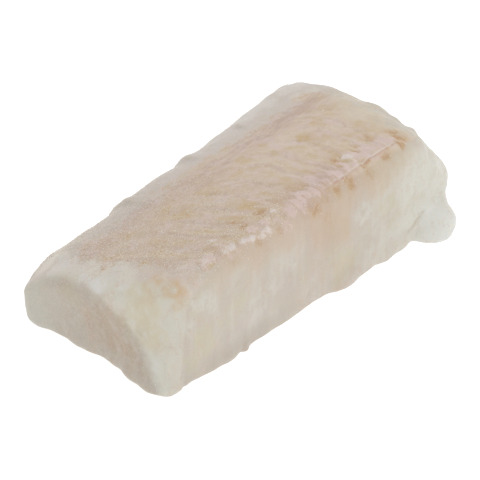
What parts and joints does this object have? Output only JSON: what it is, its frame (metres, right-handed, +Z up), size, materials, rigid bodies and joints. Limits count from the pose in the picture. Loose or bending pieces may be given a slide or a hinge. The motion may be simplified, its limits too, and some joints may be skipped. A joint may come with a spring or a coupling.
{
  "type": "cod loin",
  "caption": "Thick oblong piece of raw frozen white fish, skinless, lying skin side up, with a lateral line along its tall back edge, a hollowed tail cut and a small flap at its head end.",
  "frame": {"origin": "middle of the bounding box, on the surface that the loin lies on", "axes": "+X along the loin from its tail cut to its head cut, +Y towards its thin long edge, +Z up out of its skinned side"},
  "size_m": [0.1284, 0.0696, 0.0346],
  "materials": {
    "flesh": "raw frozen white fish: creamy white, tan and pinkish on the skinned side, satin, faintly translucent, with fine frost"
  },
  "bodies": {
    "root": {"cod_loin": "flesh"}
  },
  "joints": []
}
